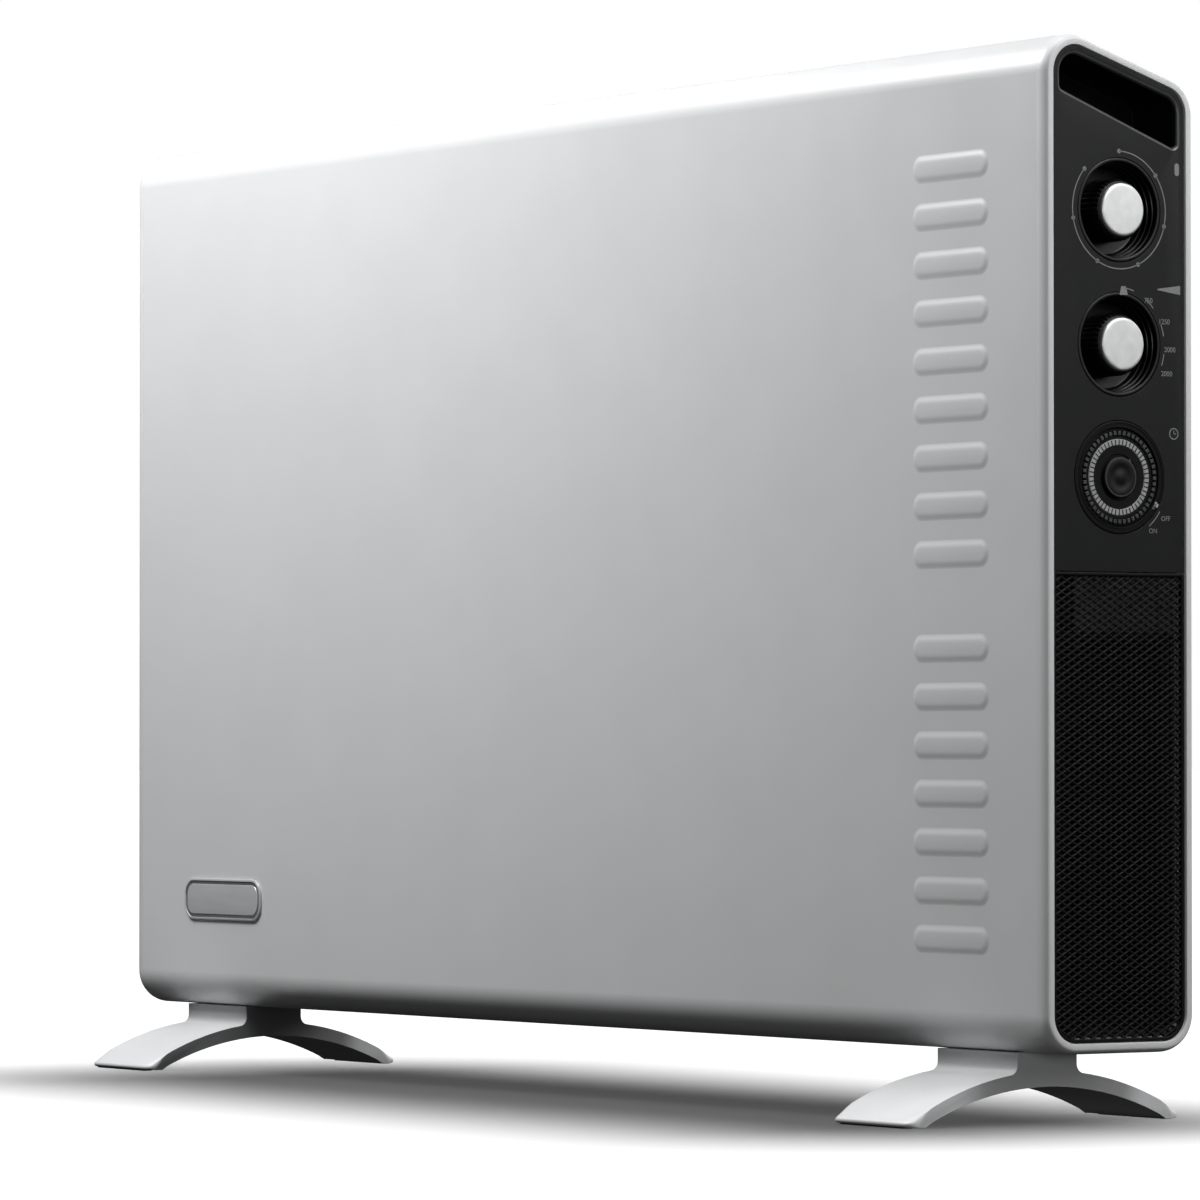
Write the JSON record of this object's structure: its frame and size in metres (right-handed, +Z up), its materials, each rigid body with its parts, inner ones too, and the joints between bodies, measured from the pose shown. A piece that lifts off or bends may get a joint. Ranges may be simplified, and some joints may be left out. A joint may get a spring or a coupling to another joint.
{
  "type": "electric convector heater",
  "caption": "Slim floor-standing electric convector heater with a side control panel, knobs, timer dial, side grilles and arched feet.",
  "frame": {"origin": "on the floor, under the middle of the two feet", "axes": "+X towards the control end, -Y the front, +Z up"},
  "size_m": [0.737, 0.142, 0.4491],
  "materials": {
    "front_paint": "satin light silver paint",
    "rear_paint": "satin light silver paint",
    "silver_plastic": "light silver moulded plastic",
    "fascia_plastic": "fine satin black",
    "black_plastic": "black",
    "gloss_black": "gloss black",
    "cap_metal": "spun aluminium cap",
    "white_plastic": "white",
    "cream_plastic": "cream switch plastic",
    "sheet_steel": "zinc-plated sheet",
    "shaft_steel": "turned steel",
    "screw_steel": "zinc-plated",
    "grille_grey": "satin grey",
    "plate_metal": "stamped plate",
    "element_metal": "extruded fins",
    "ceramic": null,
    "cutout_brass": "bimetal cut-out case",
    "pad_rubber": "soft black rubber"
  },
  "bodies": {
    "casing": {"front_cover": "front_paint", "rear_cover": "rear_paint", "top_grille": "grille_grey", "base_rail": "sheet_steel", "right_end_frame": "silver_plastic", "left_end_frame": "silver_plastic", "control_fascia": "fascia_plastic", "thermostat_dish": "gloss_black", "selector_dish": "gloss_black", "right_grille": "black_plastic", "right_handle_cup": "black_plastic", "left_panel": "fascia_plastic", "left_grille": "black_plastic", "left_handle_cup": "black_plastic", "badge_plate": "plate_metal", "left_foot": "silver_plastic", "right_foot": "silver_plastic", "foot_pads": "pad_rubber", "foot_screws": "screw_steel", "cover_screws": "screw_steel", "cord_gland": "black_plastic", "terminal_block": "cream_plastic", "wiring_loom": "pad_rubber", "control_bracket": "sheet_steel", "thermostat_body": "cream_plastic", "selector_body": "cream_plastic", "bush_nuts": "screw_steel", "timer_housing": "black_plastic", "timer_motor": "sheet_steel", "timer_hub": "black_plastic", "right_element_bracket": "sheet_steel", "left_element_bracket": "sheet_steel", "lower_element": "element_metal", "upper_element": "element_metal", "element_bushes": "ceramic", "front_air_baffle": "sheet_steel", "rear_heat_shield": "sheet_steel", "thermal_cutout": "cutout_brass", "right_blower_housing": "black_plastic", "right_blower_motor": "sheet_steel", "left_blower_housing": "black_plastic", "left_blower_motor": "sheet_steel"},
    "thermostat_control": {"thermostat_knob": "gloss_black", "thermostat_cap": "cap_metal", "thermostat_shaft": "shaft_steel"},
    "selector_control": {"selector_knob": "gloss_black", "selector_cap": "cap_metal", "selector_shaft": "shaft_steel"},
    "dial": {"timer_dial": "black_plastic"},
    "tappet_ring": {"timer_tappets": "black_plastic"},
    "mode_lever": {"timer_mode_slider": "white_plastic"},
    "right_rotor": {"right_blower_rotor": "black_plastic"},
    "left_rotor": {"left_blower_rotor": "black_plastic"}
  },
  "joints": [
    {"name": "thermostat_turn", "type": "hinge", "parent": "casing", "child": "thermostat_control", "pos_m": [0.3667, 0.013, 0.3775], "axis": [-1, 0, 0], "range_deg": [0, 312]},
    {"name": "selector_turn", "type": "hinge", "parent": "casing", "child": "selector_control", "pos_m": [0.3667, 0.013, 0.322], "axis": [-1, 0, 0], "range_deg": [0, 128]},
    {"name": "timer_turn", "type": "hinge", "parent": "casing", "child": "dial", "pos_m": [0.3667, 0.013, 0.2672], "axis": [-1, 0, 0], "continuous": true},
    {"name": "tappet_slide", "type": "slide", "parent": "dial", "child": "tappet_ring", "axis": [1, 0, 0], "range_m": [0, 0.0012]},
    {"name": "mode_turn", "type": "hinge", "parent": "casing", "child": "mode_lever", "pos_m": [0.3667, 0.013, 0.2672], "axis": [-1, 0, 0], "range_deg": [0, 18]},
    {"name": "right_rotor_spin", "type": "hinge", "parent": "casing", "child": "right_rotor", "pos_m": [0.3305, 0.013, 0.1], "axis": [0, 0, 1], "continuous": true},
    {"name": "left_rotor_spin", "type": "hinge", "parent": "casing", "child": "left_rotor", "pos_m": [-0.3305, 0.013, 0.1], "axis": [0, 0, 1], "continuous": true}
  ]
}
